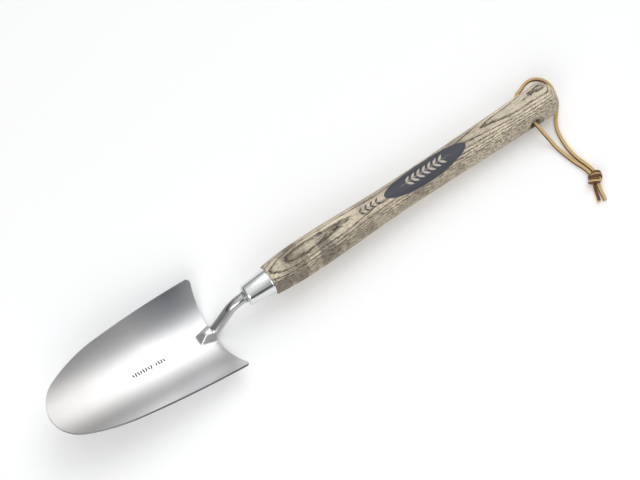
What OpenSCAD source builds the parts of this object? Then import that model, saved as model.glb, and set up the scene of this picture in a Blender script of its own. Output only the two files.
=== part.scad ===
// Hand trowel: dished steel blade, swan neck shank, tapered ferrule, long
// turned ash handle with a leather hanging lace.
//
// Tool frame: X along the handle towards the butt, origin on the handle's
// axis where ferrule and wood meet, Z up on the blade's hollow side.
// lay() sets the tool down on its heel and butt, as it lies on a bench.

/* [Blade] */
// Length along the spine, tip to back edge
blade_len = 147.5; // [100:0.5:180]
// Width between the flanks at the back
blade_w = 90; // [70:1:110]
// Sheet thickness
blade_t = 1.5; // [1:0.1:2.5]
// Radius of the trough, across
trough_r = 65; // [55:1:120]
// Radius of the dish, lengthwise
dish_r = 2200; // [1200:100:4000]
// Radius of the shoulder between nose and flank
shoulder_r = 145; // [120:1:170]
// Radius of the flank
flank_r = 900; // [700:50:1500]
// Where the flank begins, from the tip
flank_start = 60; // [55:1:70]
// How far the ears sweep back behind the middle of the back edge
ear_sweep = 5; // [2:0.5:10]
// Corner radius of the ears
ear_r = 3; // [1:0.5:5]
// Angle of the spine to the handle
blade_pitch = 13.6; // [5:0.1:25]

/* [Hump] */
// Length of the pressed hump at its base
hump_len = 13.5; // [10:0.5:20]
// Width of the hump's base at the front
hump_front_w = 9.6; // [6:0.2:12]
// Width of the hump's base at the back
hump_back_w = 17.6; // [15:0.2:24]
// Length of the ridge along the top
hump_ridge_len = 7; // [4:0.5:9]
// Width of the ridge
hump_ridge_w = 6; // [4:0.2:8]
// Height of the ridge above the trough, at the back
hump_h = 7.2; // [6:0.1:9]
// How much lower the ridge is at its front
hump_fall = 0.8; // [0:0.1:1.5]

/* [Shank] */
// Rod diameter
shank_d = 9; // [7:0.1:11]
// Distance from the wood to the upper corner of the swan neck
neck_start = 34.8; // [32:0.2:45]
// How far the neck drops below the handle's axis
neck_drop = 24.8; // [18:0.2:35]
// Slope of the neck
neck_slope = 48.6; // [40:0.2:60]
// Centreline radius of the upper bend
upper_bend_r = 18; // [12:0.5:20]
// Centreline radius of the heel bend
heel_bend_r = 8; // [6:0.5:9]
// Distance from the blade's back edge to the heel corner
heel_gap = 2; // [1:0.5:4]
// Length of the parallel part of the tang, inside the wood
tang_straight = 15; // [8:1:25]
// Length of the tapered part of the tang
tang_taper = 60; // [30:1:90]
// Diameter of the tang's point
tang_tip_d = 4; // [3:0.5:6]
// Diameter of the swaged collar's bead
collar_bead = 1.8; // [1:0.1:2.5]

/* [Ferrule] */
// Length
ferrule_len = 24; // [20:0.5:28]
// Diameter at the front, before the rounding
ferrule_front_d = 18; // [16:0.2:22]
// Diameter at the wood
ferrule_back_d = 23.2; // [20:0.2:25]
// Wall
ferrule_wall = 1.2; // [0.8:0.1:2]
// Thickness of the closed front
ferrule_face = 1.5; // [1:0.1:3]
// Radius of the rounded front edge
ferrule_round = 3; // [1:0.5:4]

/* [Handle] */
// Length of the wood that shows
handle_len = 287; // [200:1:400]
// Diameter at the ferrule
handle_front_d = 25.8; // [25.4:0.2:28]
// Diameter of the swell
swell_d = 30.2; // [28:0.2:36]
// Distance of the swell from the ferrule
swell_at = 36; // [25:1:50]
// Diameter of the waist
waist_d = 25.9; // [22:0.2:28]
// Distance of the waist from the ferrule
waist_at = 133; // [90:1:160]
// Diameter near the butt
butt_d = 30.6; // [28:0.2:36]
// Depth of the rounded butt
butt_dome = 12; // [8:0.5:16]
// Bore of the hanging hole
hole_d = 8; // [6:0.5:10]
// Distance of the hanging hole from the butt end
hole_inset = 30; // [24:1:45]
// Radius of the hole's flared mouths
hole_flare = 4; // [2:0.5:5]

/* [Label] */
// Length of the oval
label_len = 81; // [40:1:100]
// Width of the oval, seen from above
label_w = 18.6; // [10:0.2:20]
// Distance of its middle from the ferrule
label_at = 154; // [100:1:180]
// Thickness of the film
label_t = 0.12; // [0.1:0.02:0.3]

/* [Lace] */
// Thickness of the thong
lace_d = 3.2; // [2.5:0.1:3.6]
// Thickness of the knot
knot_d = 9.5; // [8:0.5:11]

/* [Fits] */
// Gap between wood and ferrule, and wood and tang
seat_fit = 0.05; // [0.02:0.01:0.2]
// Gap between shank and ferrule, and forged end and hump
shank_fit = 0.15; // [0.1:0.05:0.3]

/* [Hidden] */
$fn = 96;
eps = 0.01;

// Swan neck: the two corners of its centreline, and the heel's arc centre
shank_r = shank_d / 2;
heel_turn = neck_slope + blade_pitch;
neck_corner = [-neck_start, 0];
heel_corner = [-neck_start - neck_drop / tan(neck_slope), -neck_drop];
spine_dir = [cos(blade_pitch), -sin(blade_pitch)];
spine_up = [sin(blade_pitch), cos(blade_pitch)];
neck_dir = [cos(neck_slope), sin(neck_slope)];
inward = (neck_dir - spine_dir) / norm(neck_dir - spine_dir);
heel_centre = heel_corner + inward * heel_bend_r / cos(heel_turn / 2);
upper_tangent = upper_bend_r * tan(neck_slope / 2);
heel_tangent = heel_bend_r * tan(heel_turn / 2);

// Blade frame: the middle of its back edge, on the hollow face. The rod's
// underside is flush with the blade's underside, and the forged end reaches
// a little way into the round bar.
rod_over_blade = shank_r - blade_t;
dish_sag = dish_r - sqrt(pow(dish_r, 2) - pow(blade_len / 2, 2));
root_end = shank_fit + 0.4;
blade_at = heel_corner - rod_over_blade * spine_up - heel_gap * spine_dir;
tip_at = blade_at - blade_len * spine_dir;

// Resting pose: on the butt's rim and the lower of the forged end's corner
// and the heel's arc
dome_start = handle_len - butt_dome;
rim_share = 0.06;
butt_rim = [dome_start + rim_share * butt_dome, -butt_d / 2];
to_corner = butt_rim - (blade_at + root_end * spine_dir - blade_t * spine_up);
to_arc = heel_centre - butt_rim;
lay_angle = max(atan2(to_corner[1], to_corner[0]),
                atan2(-to_arc[0], to_arc[1]) - acos((heel_bend_r + shank_r) / norm(to_arc)));
floor_z = butt_rim[1] * cos(lay_angle) - butt_rim[0] * sin(lay_angle);
tip_x = tip_at[0] * cos(lay_angle) + tip_at[1] * sin(lay_angle);
butt_x = handle_len * cos(lay_angle);
middle_x = (tip_x + butt_x) / 2;

hole_at = handle_len - hole_inset;

module lay() {
    translate([-middle_x, 0, -floor_z]) rotate([0, lay_angle, 0]) children();
}

module in_blade_frame() {
    translate([blade_at[0], 0, blade_at[1]]) rotate([0, blade_pitch, 0]) children();
}

function arc(c, r, a0, a1, n) =
    [for (i = [0:n]) let (a = a0 + (a1 - a0) * i / n) c + r * [cos(a), sin(a)]];
function mirrored(points) =
    [for (i = [len(points) - 1:-1:0]) [points[i][0], -points[i][1]]];
function unit(v) = v / norm(v);
function along(line, i) = unit(line[min(i + 1, len(line) - 1)] - line[max(i - 1, 0)]);

// A round bar swept along a line of points, with a radius at each point
module swept(line, radii, sides) {
    n = len(line);
    points = [for (i = [0:n - 1]) let (t = along(line, i), side = unit(cross(t, [0, 0, 1])),
                                       up = cross(side, t))
        for (k = [0:sides - 1]) let (a = 360 * (k + 0.5) / sides)
            line[i] + radii[i] * (side * cos(a) + up * sin(a))];
    faces = concat(
        [[for (k = [sides - 1:-1:0]) k]],
        [for (i = [0:n - 2], k = [0:sides - 1]) let (j = (k + 1) % sides)
            [i * sides + k, i * sides + j, (i + 1) * sides + j, (i + 1) * sides + k]],
        [[for (k = [0:sides - 1]) (n - 1) * sides + k]]);
    polyhedron(points, faces);
}

// ---------------------------------------------------------------- blade

// Outline from the tip: nose, shoulder and flank arcs, each tangent to the
// next, then the ear's corner and the hollow back edge. u runs from the tip.
flank_lead = 25; // how far past the back edge the flank would run level
flank_top = blade_w / 2 + pow(flank_lead, 2) / (2 * flank_r);
flank_c = [blade_len + flank_lead, flank_top - flank_r];
flank_a0 = 180 - acos((flank_c[0] - flank_start) / flank_r);
shoulder_c = flank_c + (flank_r - shoulder_r) * [cos(flank_a0), sin(flank_a0)];
nose_r = (pow(shoulder_r, 2) - pow(norm(shoulder_c), 2)) / (2 * (shoulder_r - shoulder_c[0]));
shoulder_a0 = atan2(-shoulder_c[1], nose_r - shoulder_c[0]);
ear_w = blade_w / 2 - ear_r;
back_r = (pow(ear_w, 2) + pow(ear_sweep, 2)) / (2 * ear_sweep);
back_c = [blade_len + back_r, 0];
ear_tilt = asin(ear_w / (back_r + ear_r));
ear_c = [back_c[0] - sqrt(pow(back_r + ear_r, 2) - pow(ear_w, 2)), ear_w];
flank_a1 = acos((ear_c[0] - flank_c[0]) / flank_r);
half_outline = concat(
    arc([nose_r, 0], nose_r, 180, shoulder_a0, 20),
    arc(shoulder_c, shoulder_r, shoulder_a0 - 1, flank_a0, 10),
    arc(flank_c, flank_r, flank_a0 - 0.5, flank_a1, 10),
    arc(ear_c, ear_r, 80, -ear_tilt, 6),
    arc(back_c, back_r, 180 - ear_tilt * 0.96, 180, 14));

module trough(r_across, r_long) {
    translate([-blade_len / 2, 0, dish_r - dish_sag]) rotate([90, 0, 0])
        rotate([0, 0, 264]) rotate_extrude(angle = 12, $fn = 360)
            translate([r_long - r_across, 0]) circle(r = r_across, $fn = 180);
}

// The hump's base, level with the sheet's underside: a narrow front and a wide
// back. grow is how far every face stands out.
function hump_base(grow, back) = let (
        front_w = hump_front_w / 2 + grow,
        back_w = hump_back_w / 2 + grow)
    [[-hump_len - grow, -front_w], [-hump_len - grow, front_w], [back, back_w], [back, -back_w]];

module hump_block(grow, back) {
    ridge_w = (hump_ridge_w + grow) / 2;
    ridge = [[-hump_ridge_len, -ridge_w / 2], [-hump_ridge_len, ridge_w / 2],
             [back, ridge_w], [back, -ridge_w]];
    hull() polyhedron(
        concat([for (p = hump_base(grow, back)) [p[0], p[1], -blade_t]],
               [for (p = ridge) [p[0], p[1], grow + (p[0] < back ? hump_h - hump_fall : hump_h)]]),
        [[0, 1, 2, 3], [4, 5, 6, 7]]);
}

module forged_end() {
    // Wedged up under the hump, flush with the underside of its back edge
    hump_block(-blade_t - shank_fit, root_end);
}

module blade() {
    mouth = 2; // the hollow runs out past the back edge
    color("#c4c6c9") lay() in_blade_frame() difference() {
        union() {
            intersection() {
                difference() {
                    trough(trough_r + blade_t, dish_r + blade_t);
                    trough(trough_r, dish_r);
                }
                translate([-blade_len, 0, -10]) linear_extrude(height = 60)
                    polygon(concat(half_outline, mirrored(half_outline)));
            }
            intersection() {
                hump_block(0, 0);
                trough(trough_r + blade_t / 2, dish_r + blade_t / 2);
            }
        }
        hump_block(-blade_t, mouth);
        translate([0, 0, -3 * blade_t]) linear_extrude(height = 2 * blade_t + eps)
            polygon(hump_base(-blade_t, mouth));
    }
}

// ---------------------------------------------------------------- shank

// Centreline of the bar from the tang's point to the heel, in the XZ plane,
// and its radius at each point
collar_at = -ferrule_len - collar_bead / 2 - shank_fit;
upper_centre = neck_corner + [upper_tangent, -upper_bend_r];
tang_line = [[tang_straight + tang_taper, 0], [tang_straight, 0],
             [collar_at + collar_bead / 2, 0], [collar_at + collar_bead / 4, 0],
             [collar_at - collar_bead / 4, 0], [collar_at - collar_bead / 2, 0]];
tang_radii = [tang_tip_d / 2, shank_r, shank_r, shank_r + collar_bead / 3,
              shank_r + collar_bead / 3, shank_r];
neck_line = concat(arc(upper_centre, upper_bend_r, 90, 90 + neck_slope, 9),
                   arc(heel_centre, heel_bend_r, 270 - blade_pitch + heel_turn, 270 - blade_pitch, 9));
shank_line = [for (p = concat(tang_line, neck_line)) [p[0], 0, p[1]]];
shank_radii = concat(tang_radii, [for (p = neck_line) shank_r]);
cut = 30; // a block larger than what it cuts away

module shank() {
    color("#b3b5b8") lay() {
        // Tang, collar and swan neck, cut off where the forged end begins
        difference() {
            swept(shank_line, shank_radii, 24);
            in_blade_frame() translate([shank_fit - cut / 2, 0, 0]) cube(cut, center = true);
        }
        in_blade_frame() forged_end();
    }
}

// The sheet's underside near the hump, as the cylinder that touches it there
seam_x = -hump_len / 2;
seam_slope = atan((seam_x + blade_len / 2) / dish_r);
seam_z = dish_r - dish_sag - sqrt(pow(dish_r, 2) - pow(seam_x + blade_len / 2, 2));

module weld_bead(side) {
    // A bead that joins the forged end to the sheet's underside, clear of the bench
    bead_d = 2;
    inset = 3;
    bead_z = 0.3 - blade_t;
    back_y = side * (hump_back_w / 2 - blade_t);
    front_y = side * (hump_front_w / 2 - blade_t);
    difference() {
        difference() {
            hull() {
                translate([-inset, back_y, bead_z]) sphere(d = bead_d, $fn = 16);
                translate([inset / 2 - hump_len, front_y, bead_z]) sphere(d = bead_d, $fn = 16);
            }
            translate([seam_x, 0, seam_z + trough_r]) rotate([0, 90 - seam_slope, 0])
                cylinder(r = trough_r + blade_t, h = 2 * hump_len, center = true, $fn = 360);
        }
        forged_end();
    }
}

module weld_beads() {
    color("#9a9ca0") lay() in_blade_frame() for (side = [-1, 1]) weld_bead(side);
}

// -------------------------------------------------------------- ferrule

function ferrule_r(x) = ferrule_back_d / 2 + x * (ferrule_back_d - ferrule_front_d) / 2 / ferrule_len;

module turned(points) {
    // points are [x along the handle, radius]
    rotate([0, 90, 0]) rotate_extrude() polygon([for (p = points) [p[1], p[0]]]);
}

module ferrule() {
    outer_round = arc([ferrule_round - ferrule_len, ferrule_r(ferrule_round - ferrule_len) - ferrule_round],
                      ferrule_round, 180, 90, 8);
    inner_x = ferrule_face - ferrule_len;
    color("#c9cbce") lay() turned(concat(
        [[-ferrule_len, shank_r + shank_fit]], outer_round,
        [[0, ferrule_r(0)], [0, ferrule_r(0) - ferrule_wall],
         [inner_x + 2, ferrule_r(inner_x + 2) - ferrule_wall],
         [inner_x, ferrule_r(inner_x) - ferrule_wall - 2],
         [inner_x, shank_r + shank_fit]]));
}

// --------------------------------------------------------------- handle

// Radius of the turned wood at a distance x from the ferrule
function handle_r(x) =
    x < swell_at ? swell_d / 2 - (swell_d - handle_front_d) / 2 * pow(1 - x / swell_at, 2)
    : x < waist_at ? (swell_d + waist_d) / 4
        + (swell_d - waist_d) / 4 * cos(180 * (x - swell_at) / (waist_at - swell_at))
    : x < dome_start ? waist_d / 2
        + (butt_d - waist_d) / 2 * pow((x - waist_at) / (dome_start - waist_at), 1.3)
    : butt_d / 2 * pow(max(0, 1 - pow((x - dome_start) / butt_dome, 2.2)), 1 / 2.2);

body_stations = [for (i = [0:44]) dome_start * i / 44];
dome_stations = [for (i = [1:12]) dome_start + butt_dome * sin(90 * i / 12)];
outline_of_handle = [for (x = concat(body_stations, dome_stations)) [x, handle_r(x)]];

module flared_hole() {
    // Bore across the butt, with mouths rounded over
    mouth = handle_r(hole_at);
    rotate([90, 0, 0]) cylinder(h = 2 * mouth + 4, d = hole_d, center = true);
    for (s = [-1, 1]) rotate([90 * s, 0, 0]) translate([0, 0, mouth - hole_flare])
        difference() {
            cylinder(h = hole_flare + 2, r = hole_d / 2 + hole_flare);
            rotate_extrude() translate([hole_d / 2 + hole_flare, 0]) circle(r = hole_flare, $fn = 48);
        }
}

module handle() {
    spigot_x = ferrule_face - ferrule_len + 0.5;
    tang_end = tang_straight + tang_taper + 1;
    color("#94866f") lay() difference() {
        union() {
            turned(concat([[0, 0]], outline_of_handle));
            turned([[spigot_x, 0], [spigot_x, ferrule_r(spigot_x) - ferrule_wall - 2],
                    [spigot_x + 2, ferrule_r(spigot_x + 2) - ferrule_wall - seat_fit],
                    [eps, ferrule_r(0) - ferrule_wall - seat_fit], [eps, 0]]);
        }
        turned([[spigot_x - 1, 0], [spigot_x - 1, shank_r + seat_fit], [tang_straight, shank_r + seat_fit],
                [tang_end, tang_tip_d / 2 + seat_fit], [tang_end, 0]]);
        translate([hole_at, 0, 0]) flared_hole();
    }
}

module label() {
    stations = [for (i = [-16:16]) label_at + (label_len / 2 + 2) * i / 16];
    color("#4a4c54") lay() intersection() {
        difference() {
            turned(concat([[stations[0], 0]], [for (x = stations) [x, handle_r(x) + label_t]],
                          [[stations[32], 0]]));
            turned(concat([[stations[0] - 1, 0]],
                          [for (x = concat([stations[0] - 1], body_stations_near_label,
                                           [stations[32] + 1])) [x, handle_r(x)]],
                          [[stations[32] + 1, 0]]));
        }
        translate([label_at, 0, 0]) linear_extrude(height = butt_d)
            polygon([for (i = [0:59]) [label_len / 2 * cos(6 * i), label_w / 2 * sin(6 * i)]]);
    }
}
body_stations_near_label = [for (x = body_stations)
    if (x > label_at - label_len / 2 - 2 && x < label_at + label_len / 2 + 2) x];

// ----------------------------------------------------------------- lace

// Routes on the bench, out of the two mouths of the hanging hole
far_route = [
    [214.5, 0, 16.2], [214.5, 8, 16.2], [215.5, 13, 16.2], [219, 17, 15.5], [225, 19.5, 14],
    [231.5, 22.5, 12], [237, 24.3, 9], [242, 24.8, 6], [246.5, 23.8, 3.4], [250.3, 20.5, 2],
    [251.8, 15.5, 1.7], [251.5, 10, 1.7], [250, 5, 1.7], [248, 0, 1.7], [244.7, -5.5, 1.7],
    [240.3, -10.3, 1.7], [235.5, -15.5, 1.7], [230.7, -23, 1.7], [227.8, -32.5, 1.7],
    [226.4, -43, 1.7], [226.8, -53.5, 1.7], [228.6, -62.5, 1.7], [229.4, -70, 2.6],
    [228.6, -74.2, 3.6]];
near_route = [
    [214.5, 0, 16.2], [214.5, -8, 16.2], [214.7, -14, 15.8], [215.3, -18.5, 14], [216.3, -22.5, 11],
    [217.3, -26, 8], [218.3, -29.5, 5.2], [219, -33.5, 3], [219.6, -38, 2], [220.4, -43.5, 1.7],
    [221.3, -49, 1.7], [222.4, -54.5, 1.7], [223.7, -59.5, 1.7], [225.1, -64.5, 1.8],
    [225.8, -70.5, 2.6], [224.8, -74.8, 3.6]];
tail_routes = [[[222, -82, 3.2], [220.6, -84.8, 2.2], [218.6, -89.5, 1.8], [216, -96, 1.7]],
               [[225.4, -82.6, 3.2], [224, -85.6, 2.2], [222.4, -91, 1.8], [220.6, -98, 1.7]]];
knot_at = [225.3, -78.8];
knot_along = [-0.6, -0.8];

// A point of a smooth curve through four points, at t between the middle two
function through(p, t) = 0.5 * (2 * p[1] + (p[2] - p[0]) * t
    + (2 * p[0] - 5 * p[1] + 4 * p[2] - p[3]) * t * t
    + (3 * p[1] - p[0] - 3 * p[2] + p[3]) * t * t * t);
function smooth(route, steps) = let (last = len(route) - 1) concat(
    [for (i = [0:last - 1], k = [0:steps - 1])
        through([route[max(i - 1, 0)], route[i], route[i + 1], route[min(i + 2, last)]], k / steps)],
    [route[last]]);

module tube(route, d) {
    line = smooth(route, 2);
    swept(line, [for (p = line) d / 2], 8);
}

module lace_far_run() {
    color("#c9a468") tube(far_route, lace_d);
}

module lace_near_run() {
    color("#c9a468") tube(near_route, lace_d);
}

module lace_knot() {
    // One lump, with pockets where the runs and the tails end inside it
    across = [-knot_along[1], knot_along[0]];
    half_len = 2.6;
    half_wide = 2.3;
    side_d = 0.85 * knot_d;
    color("#7a4f3c") difference() {
        hull() for (s = [-1, 1]) {
            translate(concat(knot_at + knot_along * half_len * s, knot_d / 2))
                sphere(d = knot_d, $fn = 24);
            translate(concat(knot_at + across * half_wide * s, side_d / 2 + 0.2))
                sphere(d = side_d, $fn = 24);
        }
        tube(far_route, lace_d);
        tube(near_route, lace_d);
        for (route = tail_routes) tube(route, lace_d);
    }
}

module lace_tails() {
    color("#5f4032") for (route = tail_routes) tube(route, lace_d);
}

blade();
shank();
weld_beads();
ferrule();
handle();
label();
lace_far_run();
lace_near_run();
lace_knot();
lace_tails();
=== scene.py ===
"""A hand trowel: pressed blade, swan neck, ferrule, turned ash handle and a leather lace.

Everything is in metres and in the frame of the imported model. Pieces of the tool are
drawn along their own axis and then laid on the bench by one matrix.
"""
import random
from math import atan2, acos, cos, hypot, pi, radians, sin, sqrt, tan

import bmesh
import bpy
from mathutils import Matrix, Vector


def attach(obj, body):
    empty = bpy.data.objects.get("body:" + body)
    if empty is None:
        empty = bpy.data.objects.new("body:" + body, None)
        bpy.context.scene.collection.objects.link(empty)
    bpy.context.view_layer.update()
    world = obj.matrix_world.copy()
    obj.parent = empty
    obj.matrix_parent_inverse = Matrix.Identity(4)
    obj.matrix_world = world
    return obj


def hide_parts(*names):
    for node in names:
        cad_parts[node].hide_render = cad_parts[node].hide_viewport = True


bl_info = {
    "name": "Hand Trowel",
    "version": (1, 0, 0),
    "blender": (4, 5, 0),
    "location": "View3D > Sidebar > Hand Trowel",
    "description": "Builds a garden hand trowel with a leather hanging lace",
    "category": "Add Mesh",
}

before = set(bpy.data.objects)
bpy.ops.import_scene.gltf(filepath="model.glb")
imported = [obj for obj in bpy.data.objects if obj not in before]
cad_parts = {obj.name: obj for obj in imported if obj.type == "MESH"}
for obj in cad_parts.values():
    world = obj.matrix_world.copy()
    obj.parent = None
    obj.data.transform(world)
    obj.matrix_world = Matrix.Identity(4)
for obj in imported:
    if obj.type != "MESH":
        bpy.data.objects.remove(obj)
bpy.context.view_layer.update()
UP = Vector((0, 0, 1))


# ------------------------------------------------------------------ properties

def size(name, text, value):
    return bpy.props.FloatProperty(name=name, description=text, default=value, min=0, precision=4,
                                   unit="LENGTH", subtype="DISTANCE")


def angle(name, text, value):
    return bpy.props.FloatProperty(name=name, description=text, default=radians(value),
                                   unit="ROTATION", subtype="ANGLE")


def colour(name, text, value):
    return bpy.props.FloatVectorProperty(name=name, description=text, default=(*value, 1), size=4,
                                         min=0, max=1, subtype="COLOR")


class TrowelBlade(bpy.types.PropertyGroup):
    length: size("Length", "Tip to the middle of the back edge", 0.1475)
    width: size("Width", "Width between the flanks at the back", 0.090)
    sheet: size("Sheet", "Thickness of the sheet", 0.0015)
    trough: size("Trough radius", "Radius of the hollow, across", 0.065)
    dish: size("Dish radius", "Radius of the hollow, lengthwise", 2.2)
    shoulder: size("Shoulder radius", "Radius between nose and flank", 0.145)
    flank: size("Flank radius", "Radius of the long sides", 0.9)
    flank_start: size("Flank start", "Where the flank begins, from the tip", 0.060)
    flank_lead: size("Flank lead", "How far past the back edge the flank would run level", 0.025)
    ear_sweep: size("Ear sweep", "How far the ears reach behind the back edge", 0.005)
    ear_round: size("Ear radius", "Corner radius of the ears", 0.003)
    pitch: angle("Pitch", "Angle of the spine to the handle", 13.6)
    hump_length: size("Hump length", "Length of the pressed hump", 0.0135)
    hump_front: size("Hump front", "Width of the hump's base at its front", 0.0096)
    hump_back: size("Hump back", "Width of the hump's base at the back edge", 0.0176)
    hump_height: size("Hump height", "Height of the ridge at the back edge", 0.0072)
    hump_fall: size("Hump fall", "How much lower the ridge is at its front", 0.0008)
    ridge_length: size("Ridge length", "Length of the hump's ridge", 0.007)
    ridge_width: size("Ridge width", "Width of the hump's ridge", 0.006)
    steel: colour("Steel", "Colour of the satin sheet", (0.76, 0.755, 0.75))
    # Painted shade: a darker steel colour that dims the sheet near the tip
    painted_tip_shade: colour("Haze", "Colour of the sheet near the tip", (0.48, 0.462, 0.45))
    # Painted shade: a darker, bluer steel colour that stands for the dark reflection near the far ear
    painted_ear_shade: colour("Cool", "Colour of the sheet near the far ear", (0.40, 0.41, 0.44))
    # Painted shade: a darker steel colour for the hump's steep sides
    painted_flank_shade: colour("Hump's flanks", "Colour of the hump's steep sides", (0.46, 0.46, 0.46))
    # Painted shade: a dark steel colour on the sheet's cut edge, which draws a dark rim round the blade
    edge: colour("Edge", "Colour of the cut edge", (0.26, 0.26, 0.27))
    stamp: colour("Stamp", "Colour in the stamped strokes", (0.03, 0.03, 0.035))


class TrowelShank(bpy.types.PropertyGroup):
    radius: size("Radius", "Radius of the round bar", 0.0045)
    neck_start: size("Neck start", "From the wood to the neck's upper corner", 0.0348)
    neck_drop: size("Neck drop", "How far the neck drops below the handle's axis", 0.0248)
    slope: angle("Slope", "Slope of the neck", 48.6)
    upper_bend: size("Upper bend", "Centreline radius of the upper bend", 0.018)
    heel_bend: size("Heel bend", "Centreline radius of the heel bend", 0.008)
    heel_gap: size("Heel gap", "From the blade's back edge to the heel's corner", 0.002)
    clearance: size("Clearance", "Gap between forged end and hump", 0.00015)
    root: size("Root", "How far the forged end reaches into the bar", 0.0004)
    steel: colour("Steel", "Colour of the polished bar", (0.48, 0.48, 0.48))
    weld: colour("Weld", "Colour of the weld beads", (0.42, 0.42, 0.44))


class TrowelFerrule(bpy.types.PropertyGroup):
    length: size("Length", "Length of the ferrule", 0.024)
    front: size("Front radius", "Radius at the front, before the rounding", 0.009)
    back: size("Back radius", "Radius at the wood", 0.0116)
    wall: size("Wall", "Wall thickness", 0.0012)
    rounding: size("Rounding", "Radius of the front edge", 0.003)
    steel: colour("Steel", "Colour of the polished ferrule", (0.76, 0.76, 0.76))


class TrowelHandle(bpy.types.PropertyGroup):
    length: size("Length", "Length of the wood that shows", 0.287)
    front: size("Front radius", "Radius at the ferrule", 0.0129)
    swell: size("Swell radius", "Radius of the swell", 0.0151)
    swell_at: size("Swell place", "Distance of the swell from the ferrule", 0.036)
    waist: size("Waist radius", "Radius of the waist", 0.01295)
    waist_at: size("Waist place", "Distance of the waist from the ferrule", 0.133)
    butt: size("Butt radius", "Radius near the butt", 0.0153)
    dome: size("Dome", "Depth of the rounded butt", 0.012)
    hole: size("Hole radius", "Radius of the hanging hole", 0.004)
    hole_inset: size("Hole inset", "From the hole to the butt end", 0.030)
    hole_flare: size("Hole flare", "Radius of the hole's rounded mouths", 0.004)
    cream: colour("Cream", "Colour of the pale late wood", (0.98, 0.85, 0.64))
    # The greige also paints shade on the near side of the wood
    greige: colour("Greige", "Colour of the smoky wood", (0.30, 0.25, 0.19))
    # The pore colour also paints shade in the hanging hole
    pores: colour("Pores", "Colour of the open pores", (0.035, 0.028, 0.024))


class TrowelLabel(bpy.types.PropertyGroup):
    length: size("Length", "Length of the oval", 0.081)
    width: size("Width", "Width of the oval, seen from above", 0.0186)
    place: size("Place", "Distance of its middle from the ferrule", 0.154)
    film: size("Film", "Thickness of the print", 0.00012)
    slate: colour("Slate", "Colour of the oval", (0.052, 0.054, 0.066))
    pale: colour("Pale print", "Colour of the sprig", (0.62, 0.56, 0.45))


class TrowelLace(bpy.types.PropertyGroup):
    thick: size("Thickness", "Thickness of the thong", 0.0030)
    knot_along: size("Knot along", "Half length of the knot's core", 0.0046)
    knot_across: size("Knot across", "Half width of the knot's core", 0.0036)
    knot_high: size("Knot height", "Height of the knot's heart over the bench", 0.0046)
    tan: colour("Cut leather", "Colour of the cut faces", (0.68, 0.46, 0.19))
    skin: colour("Skin", "Colour of the smooth face", (0.115, 0.050, 0.027))


class TrowelStage(bpy.types.PropertyGroup):
    lens: bpy.props.FloatProperty(name="Lens", description="Focal length in millimetres",
                                  default=83.77)
    floor: colour("Floor", "Colour of the bench", (0.99, 0.99, 0.99))
    glow: bpy.props.FloatProperty(name="Glow", description="How much light the bench itself gives",
                                  default=0.055)
    sky: colour("Room", "Colour of the room around", (0.98, 0.99, 1.0))


class TrowelSettings(bpy.types.PropertyGroup):
    blade: bpy.props.PointerProperty(type=TrowelBlade, name="Blade")
    shank: bpy.props.PointerProperty(type=TrowelShank, name="Shank")
    ferrule: bpy.props.PointerProperty(type=TrowelFerrule, name="Ferrule")
    handle: bpy.props.PointerProperty(type=TrowelHandle, name="Handle")
    label: bpy.props.PointerProperty(type=TrowelLabel, name="Label")
    lace: bpy.props.PointerProperty(type=TrowelLace, name="Lace")
    stage: bpy.props.PointerProperty(type=TrowelStage, name="Stage")


# ------------------------------------------------------------- places and curves

# How far along its dome the butt touches the bench
RIM_SHARE = 0.06


class Lay:
    """Where the tool's parts are, worked out from the sizes.

    Points of the tool are in its own frame: X along the handle to the butt, from the
    joint of ferrule and wood. tool and blade are the matrices that set them down.
    """

    def __init__(self, s):
        k, b, h = s.shank, s.blade, s.handle
        self.turn = k.slope + b.pitch
        heel = Vector((-k.neck_start - k.neck_drop / tan(k.slope), 0, -k.neck_drop))
        spine = Vector((cos(b.pitch), 0, -sin(b.pitch)))
        over = Vector((sin(b.pitch), 0, cos(b.pitch)))
        neck = Vector((cos(k.slope), 0, sin(k.slope)))
        inward = (neck - spine).normalized()
        self.heel_centre = heel + inward * k.heel_bend / cos(self.turn / 2)
        self.upper_centre = Vector((-k.neck_start + k.upper_bend * tan(k.slope / 2), 0, -k.upper_bend))
        self.neck = neck
        self.back_edge = heel - (k.radius - b.sheet) * over - k.heel_gap * spine
        tip = self.back_edge - b.length * spine
        rim = Vector((h.length - h.dome + RIM_SHARE * h.dome, 0, -h.butt))
        corner = rim - (self.back_edge + (k.clearance + k.root) * spine - b.sheet * over)
        arc = self.heel_centre - rim
        self.lay = max(atan2(corner.z, corner.x),
                       atan2(-arc.x, arc.z) - acos((k.heel_bend + k.radius) / hypot(arc.x, arc.z)))
        turned = Matrix.Rotation(self.lay, 4, "Y")
        middle = ((turned @ tip).x + (turned @ Vector((h.length, 0, 0))).x) / 2
        self.tool = Matrix.Translation((-middle, 0, -(turned @ rim).z)) @ turned
        self.blade = self.tool @ Matrix.Translation(self.back_edge) @ Matrix.Rotation(b.pitch, 4, "Y")


def through(p, t):
    """A point of the smooth curve through four points, between the middle two."""
    return 0.5 * (2 * p[1] + (p[2] - p[0]) * t + (2 * p[0] - 5 * p[1] + 4 * p[2] - p[3]) * t * t
                  + (3 * p[1] - p[0] - 3 * p[2] + p[3]) * t ** 3)


def smooth_route(route, steps=4):
    route = [Vector(p) for p in route]
    last = len(route) - 1
    line = [through([route[max(i - 1, 0)], route[i], route[i + 1], route[min(i + 2, last)]], k / steps)
            for i in range(last) for k in range(steps)]
    return line + [route[last]]


def soft_max(a, b, k):
    return (a + b + sqrt((a - b) ** 2 + k * k)) / 2


def soft_min(a, b, k):
    return (a + b - sqrt((a - b) ** 2 + k * k)) / 2


# ---------------------------------------------------------------- mesh helpers

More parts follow.
